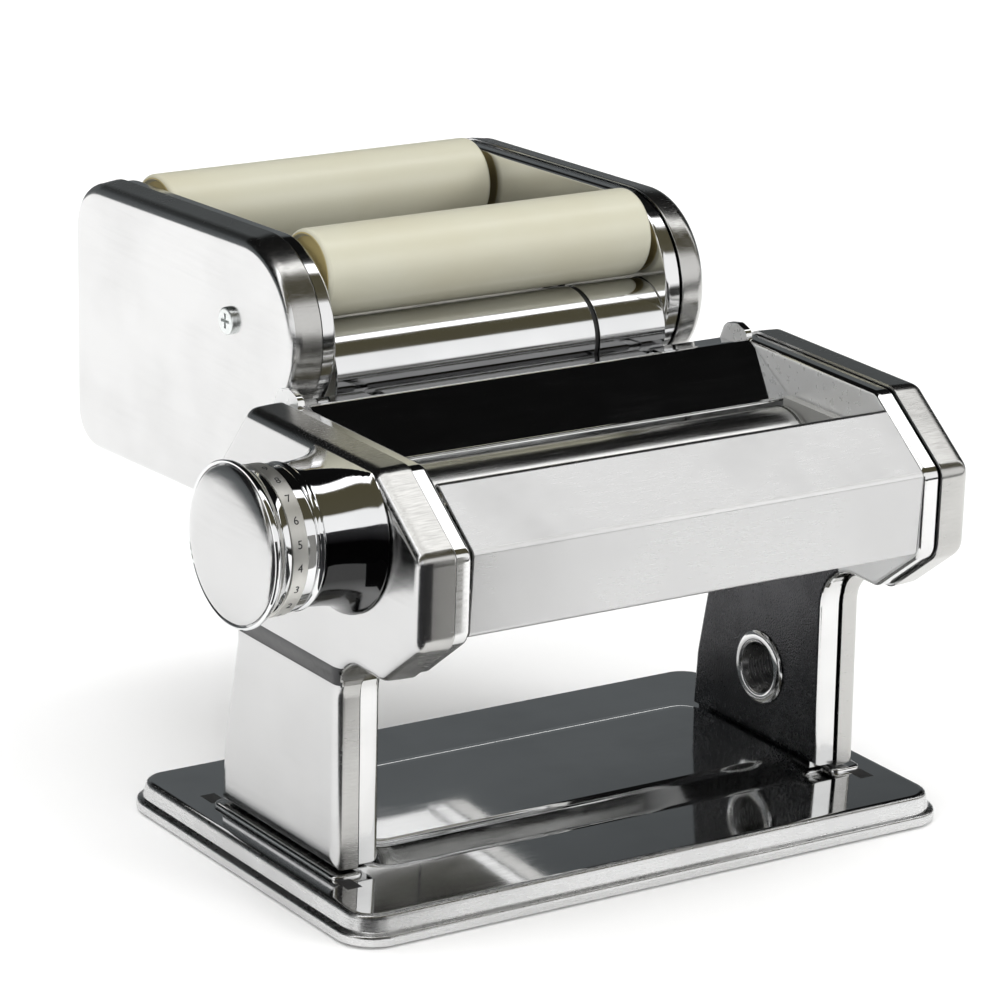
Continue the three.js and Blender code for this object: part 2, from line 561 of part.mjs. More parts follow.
const leftFrame = mirrored(innerFrame({ driveHole: 8, adjustHole: 6.6 }));
const rightFrame = innerFrame({ driveHole: 8, adjustHole: 10.4 });
const leftCover = mirrored(outerCover([hole(6, DIAL.y, DIAL.z)]));
const rightCover = outerCover([hole(8, DRIVE.y, DRIVE.z)]);
machine.add(
  piece('left_inner_frame', leftFrame, 'chrome'),
  piece('right_inner_frame', rightFrame, 'chrome'),
  piece('left_outer_cover', leftCover, 'satin'),
  piece('right_outer_cover', rightCover, 'satin'),
  piece('left_clamp_bush', mirrored(clampBush()), 'steel'),
  piece('right_clamp_bush', clampBush(), 'steel'),
  piece('front_panel', frontPanel(), 'satin'),
  piece('hopper_plate', hopperPlate(), 'chrome'),
  piece('front_guide', frontGuide(), 'chrome'),
  piece('rear_panel', rearPanel(), 'chrome'),
  piece('left_dough_guide', mirrored(doughGuide()), 'nylon'),
  piece('right_dough_guide', doughGuide(), 'nylon'),
  piece('front_scraper', frontScraper(), 'steel'),
  piece('rear_scraper', rearScraper(), 'steel'),
  piece('tie_rod', tieRod(-66.5, 106), 'steel'),
  piece('hanger_rod', steppedRod(HANGER.y, HANGER.z), 'steel'),
  piece('rest_rod', steppedRod(REST_ROD.y, REST_ROD.z), 'steel'),
);

// Driven roller, and the adjustable roller on its eccentric axle at the widest setting.
const journal = polar(ADJUST.y, ADJUST.z, THROW, 180 + REST_ANGLE);
const toothPitch = 360 / GEAR_TEETH;
const axle = adjusterAxle().rotateX(rad(REST_ANGLE));
machine.add(
  piece('drive_roller', driveRoller(), 'steel', DRIVE.y, DRIVE.z),
  piece('crank_coupler', crankCoupler(7, 90.15, 98.4), 'steel', DRIVE.y, DRIVE.z),
  piece('drive_gear', mainGear(SHAFT_R + GAP, 0), 'steel', DRIVE.y, DRIVE.z),
  piece('left_drive_bush', mirrored(driveBush()), 'brass', DRIVE.y, DRIVE.z),
  piece('right_drive_bush', driveBush(), 'brass', DRIVE.y, DRIVE.z),
  piece('crank_socket_ring', crankRing(), 'chrome', DRIVE.y, DRIVE.z),
  piece('adjuster_axle', axle, 'steel', ADJUST.y, ADJUST.z),
  piece('adjustable_roller', adjustableRoller(), 'steel', ...journal),
  piece('adjustable_gear', mainGear(7.6 + GAP, toothPitch / 2), 'steel', ...journal),
  piece('left_roller_bush', mirrored(rollerBush()), 'brass', ...journal),
  piece('right_roller_bush', rollerBush(), 'brass', ...journal),
);

// Dial: its pinion turns the axle's pinion, so each lies on the line between the two axes.
const pinionLine = THREE.MathUtils.radToDeg(Math.atan2(DIAL.z - ADJUST.z, DIAL.y - ADJUST.y));
machine.add(
  piece('axle_pinion', pinion(3 + GAP, pinionLine), 'steel', ADJUST.y, ADJUST.z),
  piece('dial_pinion', pinion(4 + GAP, pinionLine + 180 + 15), 'steel', DIAL.y, DIAL.z),
  piece('dial_shaft', dialShaft(), 'steel', DIAL.y, DIAL.z),
  piece('dial_boss', dialBoss(), 'chrome', DIAL.y, DIAL.z),
  piece('dial_knob', dialKnob(), 'chrome', DIAL.y, DIAL.z),
  piece('dial_number_ring', numberRing(), 'satin', DIAL.y, DIAL.z),
  piece('dial_cap', dialCap(), 'satin', DIAL.y, DIAL.z),
  piece('dial_spring', dialSpring(), 'steel', DIAL.y, DIAL.z),
  piece('dial_lock_pin', lockPin(), 'steel', DIAL.y, DIAL.z + 13.2),
);

// Attachment.
const attachment = new THREE.Group();
attachment.position.set(0, ATT.y, ATT.z);
attachment.rotation.x = TILT;
const formingPitch = 360 / FORMING_TEETH;
attachment.add(
  piece('att_left_frame', mirrored(attachmentFrame()), 'chrome'),
  piece('att_right_frame', attachmentFrame(), 'chrome'),
  piece('att_left_cover', mirrored(attachmentCover()), 'satin'),
  piece('att_right_cover', attachmentCover([bar(7.6, 70, 80, formingY[0], FORMING.z)]), 'satin'),
  piece('att_left_screw', mirrored(coverScrew()), 'steel', 15.8, -15.3),
  piece('att_right_screw', coverScrew(), 'steel', 15.8, -15.3),
  piece('att_front_guard', guard(-ATT_BETWEEN, GUARD.gapX - 0.9), 'chrome'),
  piece('att_guard_ring', guard(GUARD.gapX - 0.6, GUARD.gapX + 0.6, 0.6), 'black'),
  piece('att_end_guard', guard(GUARD.gapX + 0.9, ATT_BETWEEN), 'chrome'),
  piece('att_front_apron', frontApron(), 'chrome'),
  piece('att_rear_panel', attachmentRear(), 'chrome'),
  piece('att_filling_chute', fillingChute(), 'chrome'),
  piece('front_cream_roller', creamRoller(), 'cream'),
  piece('rear_cream_roller', creamRoller(), 'cream', REAR_CREAM.y, REAR_CREAM.z),
  piece('front_forming_roller', formingRoller(), 'nylon', formingY[0], FORMING.z),
  piece('rear_forming_roller', formingRoller(), 'nylon', formingY[1], FORMING.z),
  piece('att_crank_coupler', crankCoupler(6.6, 71.15, 76.4), 'steel', formingY[0], FORMING.z),
  piece('front_forming_gear', formingGear(0), 'steel', formingY[0], FORMING.z),
  piece('rear_forming_gear', formingGear(formingPitch / 2 + 180), 'steel', formingY[1], FORMING.z),
);
machine.add(attachment, piece('att_left_hook', hook(-HOOK_X), 'steel'), piece('att_right_hook', hook(HOOK_X), 'steel'));

export default machine;
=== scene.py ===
"""Looks of the pasta roller machine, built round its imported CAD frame."""

import math

import bmesh
import bpy
from mathutils import Matrix, Vector

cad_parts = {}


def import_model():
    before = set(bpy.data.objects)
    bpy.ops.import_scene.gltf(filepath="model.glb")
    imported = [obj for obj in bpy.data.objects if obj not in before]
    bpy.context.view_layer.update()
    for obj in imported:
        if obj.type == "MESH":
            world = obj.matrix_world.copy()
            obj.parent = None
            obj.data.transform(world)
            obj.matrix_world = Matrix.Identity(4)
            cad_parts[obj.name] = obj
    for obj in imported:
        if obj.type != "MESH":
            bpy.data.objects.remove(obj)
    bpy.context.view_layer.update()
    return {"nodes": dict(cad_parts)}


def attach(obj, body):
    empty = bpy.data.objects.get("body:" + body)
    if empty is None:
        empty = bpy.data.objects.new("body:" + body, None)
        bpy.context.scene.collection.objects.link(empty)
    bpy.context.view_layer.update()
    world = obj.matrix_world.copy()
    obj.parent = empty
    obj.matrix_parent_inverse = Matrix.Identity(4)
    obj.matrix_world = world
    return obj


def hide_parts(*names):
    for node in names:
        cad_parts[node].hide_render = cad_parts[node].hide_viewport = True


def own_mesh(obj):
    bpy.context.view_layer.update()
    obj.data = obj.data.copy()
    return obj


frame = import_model()
MM = 0.001
rad = math.radians

# ------------------------------------------------------------------ dimensions, in millimetres
HEAD_TOP = 138.2
FOOT_Z = 10.9
# The machine's side as (y, z, corner radius), from the front foot round over the head.
SIDE = [(-35.2, FOOT_Z, 1), (-32.6, 77, 13), (-57.5, 76.6, 6), (-77.7, 92.6, 7), (-77.4, 119.2, 6),
        (-51.5, HEAD_TOP, 6), (17.5, HEAD_TOP, 5), (33.5, 117.2, 7), (33.5, 84, 9), (24.4, 66, 8),
        (30.6, 30, 14), (31.2, FOOT_Z, 1)]
# Axes seen from the side, as (y, z). The adjustable roller's journal is THROW off its bushes' axis.
DRIVE = (-17, 110)
THROW = 1.4
ADJUST = (-47.15, 110)
JOURNAL = (ADJUST[0] + THROW * math.cos(rad(190)), ADJUST[1] + THROW * math.sin(rad(190)))
DIAL = (-36.5, 117.3)
CLAMP = (-3.8, 34.9)
# The side shells' thickness, where the leg starts, and half the length of the sheets between the sides.
SHEET = 0.9
LEG_TOP = 74.6
SPAN = 79.65
# The attachment in its own axes, which ATT tilts and puts in place.
ATT_SPAN = 59.65
ATT_SIDE = [(8.5, 12.1, 0.5), (111.6, 12.1, 16.5), (111.6, -75, 13), (25.5, -75, 6), (-12, -37.5, 1)]
ATT_NOSE = (8.5, -17, 29.1)
ATT_ORIGIN = (48.6, 165.3)
TILT = rad(-2.7)
GUARD = (-5.3, -28.1, 14.4)
CREAM_FRONT, CREAM_REAR = (0, 0), (88.5, 0.5)
CHUTE_Y = 44.2
FORMING_FRONT, FORMING_REAR = (CHUTE_Y - 17.4, -46), (CHUTE_Y + 17.4, -46)
SCREW = (15.8, -15.3)
ATT = Matrix.Translation((0, ATT_ORIGIN[0] * MM, ATT_ORIGIN[1] * MM)) @ Matrix.Rotation(TILT, 4, "X")


def unit(value):
    return min(max(value, 0), 1)


def side_name(side):
    return "left" if side < 0 else "right"


# ------------------------------------------------------------------ outlines
def polar(y, z, r, deg):
    return (y + r * math.cos(rad(deg)), z + r * math.sin(rad(deg)))


def outline(corners, inset=0.0, steps=10):
    """Rounds the corners (y, z, radius) of a closed outline, drawn inset inside itself."""
    n = len(corners)
    heading = []
    area = 0.0
    for i, (y, z, _) in enumerate(corners):
        y2, z2, _ = corners[(i + 1) % n]
        length = math.hypot(y2 - y, z2 - z)
        heading.append(((y2 - y) / length, (z2 - z) / length))
        area += y * z2 - y2 * z
    side = 1 if area > 0 else -1
    points = []
    for i, (y, z, radius) in enumerate(corners):
        a, b = heading[i - 1], heading[i]
        dot = a[0] * b[0] + a[1] * b[1]
        turn = math.atan2(a[0] * b[1] - a[1] * b[0], dot)
        k = side * inset / (1 + dot)
        cy, cz = y - (a[1] + b[1]) * k, z + (a[0] + b[0]) * k
        r = max(radius - inset if turn * side > 0 else radius + inset, 0.1)
        left = 1 if turn > 0 else -1
        run = r * math.tan(abs(turn) / 2)
        oy, oz = cy - a[0] * run - a[1] * r * left, cz - a[1] * run + a[0] * r * left
        start = math.atan2(-a[0] * left, a[1] * left)
        for s in range(steps + 1):
            angle = start + turn * s / steps
            points.append((oy + r * math.cos(angle), oz + r * math.sin(angle)))
    return points


def attachment_outline(inset, steps=10):
    """The attachment's side, whose first and last corners give way to the round nose."""
    points = outline(ATT_SIDE, inset, steps)[steps + 1:-steps - 1]
    y, z, r = ATT_NOSE
    return points + [polar(y, z, r - inset, 225 - 135 * i / 36) for i in range(37)]


def rounded_path(corners):
    """An open path through (y, z, radius) corners."""
    steps = 6
    points = [corners[0][:2]]
    for (y0, z0, _), (y, z, r), (y2, z2, _) in zip(corners, corners[1:], corners[2:]):
        a = Vector((y - y0, z - z0)).normalized()
        b = Vector((y2 - y, z2 - z)).normalized()
        turn = math.atan2(a.x * b.y - a.y * b.x, a.dot(b))
        if r == 0 or abs(turn) < 1e-4:
            points.append((y, z))
            continue
        left = 1 if turn > 0 else -1
        run = r * math.tan(abs(turn) / 2)
        oy, oz = y - a.x * run - a.y * r * left, z - a.y * run + a.x * r * left
        start = math.atan2(-a.x * left, a.y * left)
        for s in range(steps + 1):
            angle = start + turn * s / steps
            points.append((oy + r * math.cos(angle), oz + r * math.sin(angle)))
    points.append(corners[-1][:2])
    return points


def sheet_outline(path):
    """A closed outline round a bent sheet, 1 mm thick, that follows an open path."""
    half = 0.5
    sides = ([], [])
    for i, (y, z) in enumerate(path):
        p = Vector((y, z))
        a = (p - Vector(path[i - 1])).normalized() if i else None
        b = (Vector(path[i + 1]) - p).normalized() if i < len(path) - 1 else a
        a = a or b
        k = half / (1 + a.dot(b))
        for sign, edge in zip((1, -1), sides):
            edge.append((y - (a.y + b.y) * k * sign, z + (a.x + b.x) * k * sign))
    return sides[0] + sides[1][::-1]


# ------------------------------------------------------------------ meshes
def make(name, bm, body, *nodes, slot, mats, matrix=None, smooth=35, bevel=0, weighted=True):
    """Turns a bmesh in millimetres into a piece that rides on a body in place of CAD nodes."""
    bmesh.ops.scale(bm, vec=(MM, MM, MM), verts=bm.verts)
    if matrix is not None:
        bmesh.ops.transform(bm, matrix=matrix, verts=bm.verts)
    bmesh.ops.recalc_face_normals(bm, faces=bm.faces)
    mesh = bpy.data.meshes.new(name)
    bm.to_mesh(mesh)
    bm.free()
    for polygon in mesh.polygons:
        polygon.use_smooth = True
    obj = bpy.data.objects.new(name, mesh)
    bpy.context.scene.collection.objects.link(obj)
    for mat in mats:
        mesh.materials.append(mat)
    if bevel:
        m = obj.modifiers.new("edges", "BEVEL")
        m.width = bevel * MM
        m.segments = 2
        m.limit_method = "ANGLE"
        m.angle_limit = rad(40)
    else:
        mesh.set_sharp_from_angle(angle=rad(smooth))
    if weighted:
        m = obj.modifiers.new("shading", "WEIGHTED_NORMAL")
        m.keep_sharp = True
        m.weight = 80
    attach(obj, body)
    if nodes:
        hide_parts(*nodes)
    return obj


def paint(obj, index, test):
    """Gives another of a piece's finishes to the faces that pass a test."""
    for polygon in obj.data.polygons:
        if test(polygon):
            polygon.material_index = index


def skin(bm, rings, caps=(True, True)):
    """Joins rings of vertices into a tube, closed at the ends that caps asks for."""
    for low, high in zip(rings, rings[1:]):
        for i in range(len(low)):
            j = (i + 1) % len(low)
            bm.faces.new((low[i], low[j], high[j], high[i]))
    if caps[0]:
        bm.faces.new(rings[0][::-1])
    if caps[1]:
        bm.faces.new(rings[-1])
    return bm


def loft(layers, caps=(True, True), bm=None):
    """A skin through outlines of equal length, each at its own x."""
    bm = bm or bmesh.new()
    return skin(bm, [[bm.verts.new((x, y, z)) for y, z in points] for x, points in layers], caps)


def prism(points, x0, x1):
    return loft([(x0, points), (x1, points)])


def turned(profile, y, z, sides=96, bm=None):
    """Turns (x, radius) points about the X axis through (y, z)."""
    bm = bm or bmesh.new()
    rings = []
    for x, r in profile:
        if r < 1e-6:
            rings.append([bm.verts.new((x, y, z))])
        else:
            rings.append([bm.verts.new((x, *polar(y, z, r, 360 * i / sides))) for i in range(sides)])
    for a, b in zip(rings, rings[1:]):
        for i in range(sides):
            j = (i + 1) % sides
            if len(a) == 1 and len(b) == 1:
                continue
            if len(a) == 1:
                bm.faces.new((a[0], b[j], b[i]))
            elif len(b) == 1:
                bm.faces.new((a[i], a[j], b[0]))
            else:
                bm.faces.new((a[i], a[j], b[j], b[i]))
    return bm


def arc(cx, cr, r, start, end, steps):
    """Profile points on a small arc round (cx, cr)."""
    return [(cx + r * math.cos(rad(start + (end - start) * i / steps)),
             cr + r * math.sin(rad(start + (end - start) * i / steps))) for i in range(steps + 1)]


def curl(x, inset, run, rise):
    """Profile points (x, inset) of an edge that curls outwards over a quarter turn."""
    return [(x + run * math.sin(rad(a)), inset + rise * (1 - math.cos(rad(a)))) for a in range(10, 91, 10)]


def fold(x, inset, r):
    """Profile points (x, inset) of a plate's edge, folded back with radius r."""
    return [(x + r * (1 - math.sin(rad(a))), inset + r * (1 - math.cos(rad(a)))) for a in range(90, -1, -15)]


def box_mesh(x0, x1, y0, y1, z0, z1, bm=None):
    bm = bm or bmesh.new()
    made = bmesh.ops.create_cube(bm, size=1)["verts"]
    bmesh.ops.scale(bm, vec=(x1 - x0, y1 - y0, z1 - z0), verts=made)
    bmesh.ops.translate(bm, vec=((x0 + x1) / 2, (y0 + y1) / 2, (z0 + z1) / 2), verts=made)
    return bm


def flip(bm):
    """The same mesh on the other side of the machine."""
    bmesh.ops.scale(bm, vec=(-1, 1, 1), verts=bm.verts)
    bmesh.ops.reverse_faces(bm, faces=bm.faces)


def slice_at(bm, heights):
    """Adds edges at these heights, so that the skin can bend there."""
    for z in heights:
        bmesh.ops.bisect_plane(bm, geom=bm.verts[:] + bm.edges[:] + bm.faces[:], dist=1e-4,
                               plane_co=(0, 0, z), plane_no=(0, 0, 1))


def thicken(bm):
    """Gives an open skin the thickness of the side shells."""
    bmesh.ops.recalc_face_normals(bm, faces=bm.faces)
    bmesh.ops.solidify(bm, geom=bm.faces[:], thickness=SHEET)


def peg(r, y, z):
    """A rod along X that cuts a round hole in anything on the right side."""
    x0, x1 = 50, 120
    return turned([(x0, 0), (x0, r), (x1, r), (x1, 0)], y, z, sides=64)


def carve(bm, *cutters):
    """Cuts closed meshes out of a closed mesh."""
    def as_object(mesh_bm):
        bmesh.ops.recalc_face_normals(mesh_bm, faces=mesh_bm.faces)
        mesh = bpy.data.meshes.new("scratch")
        mesh_bm.to_mesh(mesh)
        mesh_bm.free()
        obj = bpy.data.objects.new("scratch", mesh)
        bpy.context.scene.collection.objects.link(obj)
        return obj

    work = as_object(bm)
    tools = [as_object(c) for c in cutters]
    for tool in tools:
        m = work.modifiers.new("cut", "BOOLEAN")
        m.operation = "DIFFERENCE"
        m.object = tool
        m.solver = "EXACT"
    result = bmesh.new()
    result.from_object(work, bpy.context.evaluated_depsgraph_get())
    for obj in (work, *tools):
        bpy.data.objects.remove(obj)
    return result


# ------------------------------------------------------------------ materials
def material(name, color, metallic=1.0, rough=0.2, spread=0.05, grain=None, grain_bump=0.0,
             dimple=0.0, dimple_scale=900.0, wave=0.0, smudge=0.0, dark=None, coat=0.0, shade=None):
    """A procedural finish, of fine grain (its noise scale along x, y and z) and broad smudges.

    Spread is how far the grain moves the roughness either way. Dimple and wave are bumps.
    """
    mat = bpy.data.materials.new(name)
    mat.use_nodes = True
    tree = mat.node_tree
    node = tree.nodes.get("Principled BSDF")
    node.inputs["Metallic"].default_value = metallic
    node.inputs["Coat Weight"].default_value = coat
    node.inputs["Coat Roughness"].default_value = 0.12

    def add(kind, **values):
        made = tree.nodes.new(kind)
        for key, value in values.items():
            if hasattr(made, key):
                setattr(made, key, value)
            else:
                made.inputs[key].default_value = value
        return made

    def link(a, b):
        tree.links.new(a, b)

    def noise(scale, detail, roughness=0.5):
        mapping = add("ShaderNodeMapping", Scale=scale)
        link(coords.outputs["Object"], mapping.inputs["Vector"])
        made = add("ShaderNodeTexNoise", Scale=1.0, Detail=detail, Roughness=roughness)
        link(mapping.outputs["Vector"], made.inputs["Vector"])
        return made.outputs["Fac"]

    def ranged(value, low, high, from_low=0.3, from_high=0.7):
        made = add("ShaderNodeMapRange")
        for key, number in (("From Min", from_low), ("From Max", from_high),
                            ("To Min", low), ("To Max", high)):
            made.inputs[key].default_value = number
        link(value, made.inputs["Value"])
        return made.outputs["Result"]

    def math_node(operation, a, b):
        made = add("ShaderNodeMath", operation=operation)
        for socket, value in zip(made.inputs, (a, b)):
            if isinstance(value, (int, float)):
                socket.default_value = value
            else:
                link(value, socket)
        return made.outputs[0]

    coords = add("ShaderNodeTexCoord")
    fine = noise(grain or (400, 400, 400), 4.0)
    broad = noise((22, 22, 22), 3.0, 0.6)
    roughness = ranged(fine, rough - spread, rough + spread)
    if smudge:
        roughness = math_node("ADD", roughness, ranged(broad, 0, smudge, 0.45, 0.75))
    link(roughness, node.inputs["Roughness"])
    # Base colour: the main colour, patchily a touch darker.
    mix = add("ShaderNodeMix", data_type="RGBA")
    mix.inputs[6].default_value = (*color, 1)
    mix.inputs[7].default_value = (*(dark or [c * 0.9 for c in color]), 1)
    link(ranged(broad, 0, 1, 0.4, 0.75), mix.inputs[0])
    tint = mix.outputs[2]
    if shade:
        # Painted shade: the colour is darkened below given heights, as (height, share of the colour) steps.
        split = add("ShaderNodeSeparateXYZ")
        link(coords.outputs["Object"], split.inputs[0])
        ramp = add("ShaderNodeValToRGB")
        low, high = shade[0][0], shade[-1][0]
        elements = ramp.color_ramp.elements
        while len(elements) < len(shade):
            elements.new(0.5)
        for element, (height, share) in zip(elements, shade):
            element.position = (height - low) / (high - low)
            element.color = (share, share, share, 1)
        link(ranged(split.outputs["Z"], 0, 1, low, high), ramp.inputs[0])
        product = add("ShaderNodeMix", data_type="RGBA", blend_type="MULTIPLY")
        product.inputs[0].default_value = 1
        link(tint, product.inputs[6])
        link(ramp.outputs[0], product.inputs[7])
        tint = product.outputs[2]
    link(tint, node.inputs["Base Color"])
    normal = None
    for height, strength, distance in (
            (fine if grain_bump else None, grain_bump, 0.0001),
            (noise((dimple_scale,) * 3, 2.0) if dimple else None, dimple, 0.0002),
            (noise((30, 45, 45), 1.0, 0.3) if wave else None, wave, 0.001)):
        if height is None:
            continue
        bump = add("ShaderNodeBump", Strength=strength, Distance=distance)
        link(height, bump.inputs["Height"])
        if normal is not None:
            link(normal, bump.inputs["Normal"])
        normal = bump.outputs["Normal"]
    if normal is not None:
        link(normal, node.inputs["Normal"])
    return mat


MIRROR = material("mirror_chrome", (0.80, 0.805, 0.81), rough=0.05, spread=0.02, smudge=0.05, wave=0.02,
                  grain=(60, 900, 900))
CHROME = material("polished_chrome", (0.80, 0.80, 0.80), rough=0.11, spread=0.04, smudge=0.06, wave=0.08,
                  grain=(60, 900, 900), grain_bump=0.05)
SATIN = material("satin_chrome", (0.70, 0.70, 0.70), rough=0.2, spread=0.04, smudge=0.05, wave=0.05,
                 grain=(500, 40, 900), grain_bump=0.06)
HEAD = material("head_satin", (0.62, 0.62, 0.62), rough=0.2, spread=0.04, smudge=0.05, wave=0.05,
                grain=(500, 40, 900), grain_bump=0.06, dark=(0.58, 0.58, 0.58))
EDGE = material("brushed_edge", (0.53, 0.525, 0.51), rough=0.22, spread=0.05, smudge=0.04,
                grain=(160, 2600, 2600), grain_bump=0.03, wave=0.06)
PANEL = material("panel_satin", (0.59, 0.59, 0.59), rough=0.28, spread=0.012, smudge=0.03,
                 grain=(200, 3000, 3000), grain_bump=0.002, dark=(0.56, 0.56, 0.56))
FRAME = material("frame_chrome", (0.78, 0.78, 0.775), rough=0.1, spread=0.04, smudge=0.06, wave=0.04,
                 grain=(60, 600, 900))
HAMMERED = material("hammered_steel", (0.085, 0.085, 0.09), rough=0.24, spread=0.06, smudge=0.08, wave=0.1,
                    dimple=0.6, dimple_scale=1700, grain=(900, 900, 900), dark=(0.04, 0.04, 0.043))
STEEL = material("ground_steel", (0.62, 0.62, 0.61), rough=0.2, spread=0.07, smudge=0.06,
                 grain=(30, 1500, 1500), grain_bump=0.12)
BAND = material("number_band", (0.82, 0.81, 0.77), rough=0.45, spread=0.08, grain=(2200, 120, 120),
                grain_bump=0.2, dark=(0.68, 0.67, 0.64))
# Painted shade on the guard's lower half: below about 139.6 mm its colour drops to a quarter or so.
GUARD_CHROME = material("guard_chrome", (0.80, 0.805, 0.81), rough=0.07, spread=0.03, smudge=0.06, wave=0.03,
                        grain=(40, 900, 900), grain_bump=0.03,
                        shade=((0.1228, 0.25), (0.1386, 0.3), (0.1396, 1.0)))
# Painted dark reflection on the boss: below 123.5 mm its colour drops to a fifth, and to a twentieth between
# 109 and 120.5 mm.
BOSS = material("boss_chrome", (0.80, 0.805, 0.81), rough=0.06, spread=0.02, smudge=0.05, wave=0.03,
                grain=(60, 900, 900),
                shade=((0.097, 0.2), (0.104, 0.16), (0.109, 0.05), (0.1205, 0.05), (0.1235, 1.0)))
INK = material("number_ink", (0.02, 0.02, 0.02), metallic=0.0, rough=0.5, spread=0.05)
BRASS = material("bush_metal", (0.62, 0.49, 0.27), rough=0.36, spread=0.08, smudge=0.05)
CREAM = material("ivory_plastic", (0.46, 0.45, 0.36), metallic=0.0, rough=0.34, spread=0.05, smudge=0.06,
                 grain=(60, 900, 900), grain_bump=0.05, dark=(0.44, 0.42, 0.32), coat=0.15)
# Painted shade for the guide rollers' end faces: a darker khaki copy of the ivory.
CREAM_END_SHADE = material("ivory_plastic_end_shade", (0.38, 0.31, 0.14), metallic=0.0, rough=0.45, spread=0.05)
WHITE = material("white_plastic", (0.78, 0.77, 0.72), metallic=0.0, rough=0.42, spread=0.06, grain_bump=0.05)
ZINC = material("bright_zinc", (0.80, 0.83, 0.82), rough=0.3, spread=0.08, smudge=0.05, grain_bump=0.05)
CREASE = material("panel_crease", (0.80, 0.80, 0.80), metallic=0.7, rough=0.5, spread=0.03,
                  grain=(200, 3000, 3000))
LIP = material("lip_satin", (0.70, 0.70, 0.70), rough=0.27, spread=0.05, smudge=0.08, wave=0.12,
               grain=(300, 300, 3000), grain_bump=0.01)
WALL = material("wall_satin", (0.76, 0.765, 0.765), metallic=0.45, rough=0.3, spread=0.05, smudge=0.08,
                wave=0.1)
GUIDE = material("guide_plastic", (0.30, 0.30, 0.29), metallic=0.0, rough=0.35, spread=0.06, grain_bump=0.05)
BORE = material("bore_steel", (0.16, 0.16, 0.16), rough=0.3, spread=0.08, grain=(1200, 300, 300),
                grain_bump=0.1)
STEP_SHADOW = material("step_shadow", (0.06, 0.06, 0.062), rough=0.2, spread=0.05, smudge=0.06)
BLACK = material("black_rubber", (0.012, 0.012, 0.012), metallic=0.0, rough=0.5, spread=0.08, grain_bump=0.1)
SLOT_SHADE = material("slot_shade", (0.02, 0.02, 0.02), metallic=0.0, rough=0.6, spread=0.05)

# Finishes of CAD nodes that are shown as they are. The rest of those are ground steel.
NODE_FINISH = {
    "base_mat": BLACK, "left_dough_guide": GUIDE, "right_dough_guide": GUIDE, "left_drive_bush": BRASS,
    "right_drive_bush": BRASS, "left_roller_bush": BRASS, "right_roller_bush": BRASS,
    "front_guide": CHROME, "rear_panel": MIRROR,
}


# ------------------------------------------------------------------ base
def stack(layers, bm=None):
    """Rounded rectangles (z, half x, y0, y1, corner) stacked upwards."""
    bm = bm or bmesh.new()
    rings = []
    for z, hx, y0, y1, corner in layers:
        corners = [(-hx, y0, corner), (hx, y0, corner), (hx, y1, corner), (-hx, y1, corner)]
        rings.append([bm.verts.new((x, y, z)) for x, y in outline(corners)])
    return skin(bm, rings)


def base():
    """The pressed shell, with its lip and the raised pan between the legs, and four thin dark patches on its
    top: painted shade where the slots are.
    """
    hx, hy, corner, lip = 104.6, 64, 9, 3
    top_edge = 9.05 * MM
    grow = [(0.5, lip - 0.5), (0.7, lip - 0.15), (1.1, lip), (2.8, lip), (3.3, lip - 0.1), (3.7, lip - 0.45),
            (3.95, lip - 1.1), (4.1, 1.4), (4.4, 1.05), (5.0, 0.9), (7.6, 0.35), (8.2, 0.2), (8.6, -0.02),
            (8.9, -0.35), (9.1, -0.8), (9.2, -1.5), (9.2, -1.9)]
    bm = stack([(z, hx + g, -hy - g, hy + g, corner + g) for z, g in grow])
    profile = [(9.1, 0, 0), (9.22, 0.5, 1.0), (9.5, 1.0, 2.2), (9.62, 1.05, 2.5), (12.28, 2.15, 8.9),
               (12.4, 2.2, 9.2), (12.8, 2.6, 10.4), (13.05, 3.2, 11.6), (13.2, 4.2, 13), (13.2, 4.6, 13.5)]
    stack([(z, 80.5 - a, -37 + b, 39 - b, 7) for z, a, b in profile], bm=bm)
    body = make("base_shell", bm, "frame", "base_pan", slot="polished_chrome", mats=[MIRROR, LIP])
    paint(body, 1, lambda face: face.center.z < top_edge)
    # Painted shade: thin dark slabs stand on the top by the legs in place of cut slots.
    slots = bmesh.new()
    for x, y in ((-93.6, 36.6), (93.6, 36.6), (-93.6, -39.8), (93.6, -39.8)):
        box_mesh(x - 2.4, x + 2.4, y - 3.4, y + 3.4, 9.0, 9.26, bm=slots)
    make("base_slot_shade", slots, "frame", slot="black_rubber", mats=[SLOT_SHADE], weighted=False)


def foot_rim(side):
    """The pressed rim the leg stands in."""
    middle, half, corner = 91.3 * side, 5.5, 3.5
    profile = [(9.25, 0), (9.8, 0.05), (10.2, 0.25), (10.42, 0.6), (10.5, 1.1), (10.5, 1.4)]
    bm = stack([(z, half - a, -37 + a, 33 - a, corner - a) for z, a in profile])
    bmesh.ops.translate(bm, vec=(middle, 0, 0), verts=bm.verts)
    make(f"{side_name(side)}_foot_rim", bm, "frame", slot="polished_chrome", mats=[CHROME])


# ------------------------------------------------------------------ side frames and covers
def leg_inset(z):
    """How far in the leg's face stands from the head's, easing through the sloped step."""
    t = unit((LEG_TOP - z) / 7)
    return 2.5 * (t * t * (3 - 2 * t) * 0.35 + t * 0.65)


